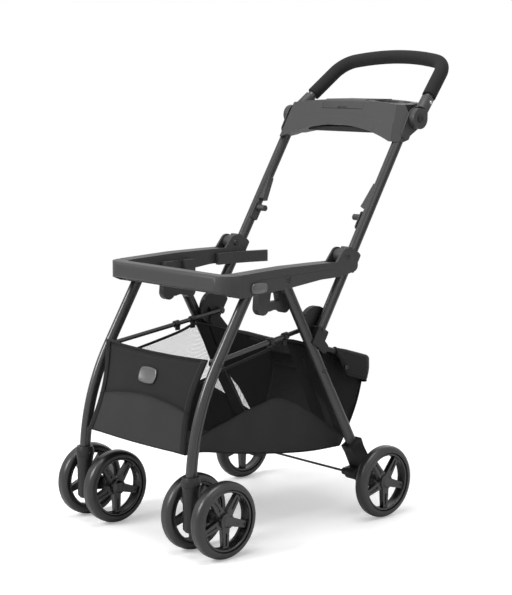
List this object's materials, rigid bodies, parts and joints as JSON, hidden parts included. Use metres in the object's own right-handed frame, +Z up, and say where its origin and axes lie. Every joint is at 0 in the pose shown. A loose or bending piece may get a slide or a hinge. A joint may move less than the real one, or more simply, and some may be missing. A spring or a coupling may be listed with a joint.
{
  "type": "car seat stroller frame",
  "caption": "Folding stroller frame that carries an infant car seat: tray ring with receivers, swivel casters, rear wheels, cloth basket, parent console and tilting handle.",
  "frame": {"origin": "on the floor under the middle of the bounding box", "axes": "+Z up, -Y towards the front of the stroller, +X towards the left side as seen by the person who pushes"},
  "size_m": [0.496, 0.8424, 1.0251],
  "materials": {
    "moulding": "satin",
    "black_plastic": "satin",
    "tube": "satin",
    "steel": "satin",
    "rim": "matte",
    "tyre": "matte",
    "foam": "matte",
    "cloth": "matte"
  },
  "bodies": {
    "tray": {"tray_front": "moulding", "tray_arm_left": "moulding", "tray_arm_right": "moulding", "tray_ends": "moulding", "receiver_left": "moulding", "receiver_right": "moulding", "arm_rivets": "steel", "basket": "cloth"},
    "front_legs": {"front_leg_left": "tube", "front_leg_right": "tube", "leg_collar_left": "black_plastic", "leg_collar_right": "black_plastic", "link_rivets": "steel"},
    "caster_left": {"caster_left": "black_plastic", "caster_axle_left": "steel"},
    "caster_right": {"caster_right": "black_plastic", "caster_axle_right": "steel"},
    "rear_legs": {"rear_leg_left": "tube", "rear_leg_right": "tube", "rear_housing_left": "black_plastic", "rear_housing_right": "black_plastic", "rear_axles": "steel", "leg_rivets": "steel"},
    "rear_wheel_left": {"rear_rim_left": "rim", "rear_tyre_left": "tyre"},
    "rear_wheel_right": {"rear_rim_right": "rim", "rear_tyre_right": "tyre"},
    "brake": {"brake_rod": "steel", "brake_pedals": "black_plastic"},
    "push_frame": {"push_tube_left": "tube", "push_tube_right": "tube", "tube_sleeve_left": "moulding", "tube_sleeve_right": "moulding", "tube_foot_left": "black_plastic", "tube_foot_right": "black_plastic", "basket_bar": "black_plastic", "seat_pegs": "moulding", "seat_catches": "moulding", "console": "moulding", "handle_bases": "moulding"},
    "lid": {"console_lid": "moulding"},
    "trigger": {"fold_trigger": "black_plastic"},
    "handle": {"handle_bow": "tube", "handle_hubs": "moulding", "handle_grip": "foam"},
    "button_left": {"handle_button_left": "black_plastic"},
    "button_right": {"handle_button_right": "black_plastic"},
    "side_links": {"side_link_left": "tube", "side_link_right": "tube", "link_clips": "black_plastic"},
    "front_wheel_left_outer": {"front_rim_left_outer": "rim", "front_tyre_left_outer": "tyre"},
    "front_wheel_left_inner": {"front_rim_left_inner": "rim", "front_tyre_left_inner": "tyre"},
    "front_wheel_right_outer": {"front_rim_right_outer": "rim", "front_tyre_right_outer": "tyre"},
    "front_wheel_right_inner": {"front_rim_right_inner": "rim", "front_tyre_right_inner": "tyre"}
  },
  "joints": [
    {"name": "fold", "type": "hinge", "parent": "tray", "child": "push_frame", "pos_m": [0, 0.03877, 0.584], "axis": [1, 0, 0], "range_deg": [0, 104], "deforming": ["basket"]},
    {"name": "front_leg_fold", "type": "hinge", "parent": "tray", "child": "front_legs", "pos_m": [0, -0.22453, 0.541], "axis": [1, 0, 0], "range_deg": [0, 86], "deforming": ["basket"]},
    {"name": "rear_leg_fold", "type": "hinge", "parent": "tray", "child": "rear_legs", "pos_m": [0, -0.13523, 0.55], "axis": [1, 0, 0], "range_deg": [0, 53.5], "deforming": ["basket"]},
    {"name": "side_link_fold", "type": "hinge", "parent": "front_legs", "child": "side_links", "pos_m": [0, -0.31544, 0.3903], "axis": [1, 0, 0], "range_deg": [-69.6, 0], "deforming": ["basket"]},
    {"name": "caster_swivel_left", "type": "hinge", "parent": "front_legs", "child": "caster_left", "pos_m": [0.18, -0.38723, 0.1], "axis": [0, 0, 1], "continuous": true},
    {"name": "front_wheel_spin_left_outer", "type": "hinge", "parent": "caster_left", "child": "front_wheel_left_outer", "pos_m": [0.227, -0.34123, 0.08], "axis": [1, 0, 0], "continuous": true},
    {"name": "front_wheel_spin_left_inner", "type": "hinge", "parent": "caster_left", "child": "front_wheel_left_inner", "pos_m": [0.133, -0.34123, 0.08], "axis": [1, 0, 0], "continuous": true},
    {"name": "rear_wheel_spin_left", "type": "hinge", "parent": "rear_legs", "child": "rear_wheel_left", "pos_m": [0.233, 0.12177, 0.08], "axis": [1, 0, 0], "continuous": true},
    {"name": "caster_swivel_right", "type": "hinge", "parent": "front_legs", "child": "caster_right", "pos_m": [-0.18, -0.38723, 0.1], "axis": [0, 0, 1], "continuous": true},
    {"name": "front_wheel_spin_right_outer", "type": "hinge", "parent": "caster_right", "child": "front_wheel_right_outer", "pos_m": [-0.227, -0.34123, 0.08], "axis": [1, 0, 0], "continuous": true},
    {"name": "front_wheel_spin_right_inner", "type": "hinge", "parent": "caster_right", "child": "front_wheel_right_inner", "pos_m": [-0.133, -0.34123, 0.08], "axis": [1, 0, 0], "continuous": true},
    {"name": "rear_wheel_spin_right", "type": "hinge", "parent": "rear_legs", "child": "rear_wheel_right", "pos_m": [-0.233, 0.12177, 0.08], "axis": [1, 0, 0], "continuous": true},
    {"name": "brake_press", "type": "hinge", "parent": "rear_legs", "child": "brake", "pos_m": [0, 0.08185, 0.09464], "axis": [-1, 0, 0], "range_deg": [0, 18]},
    {"name": "handle_tilt", "type": "hinge", "parent": "push_frame", "child": "handle", "pos_m": [0, 0.25461, 0.87306], "axis": [1, 0, 0], "range_deg": [-35, 40]},
    {"name": "lid_hinge", "type": "hinge", "parent": "push_frame", "child": "lid", "pos_m": [0, 0.31677, 0.9098], "axis": [-1, 0, 0], "range_deg": [0, 100]},
    {"name": "trigger_pull", "type": "slide", "parent": "push_frame", "child": "trigger", "axis": [0, 0, 1], "range_m": [0, 0.01], "stiffness_N_per_m": 900, "springref_m": -0.004},
    {"name": "button_press_left", "type": "slide", "parent": "handle", "child": "button_left", "axis": [-1, 0, 0], "range_m": [0, 0.004], "stiffness_N_per_m": 900, "springref_m": -0.003},
    {"name": "button_press_right", "type": "slide", "parent": "handle", "child": "button_right", "axis": [1, 0, 0], "range_m": [0, 0.004], "stiffness_N_per_m": 900, "springref_m": -0.003}
  ],
  "couplings": [
    {"joint": "front_leg_fold", "follows": "fold", "ratio": 0.82692},
    {"joint": "rear_leg_fold", "follows": "fold", "ratio": 0.51442},
    {"joint": "side_link_fold", "follows": "fold", "ratio": -0.66923}
  ]
}
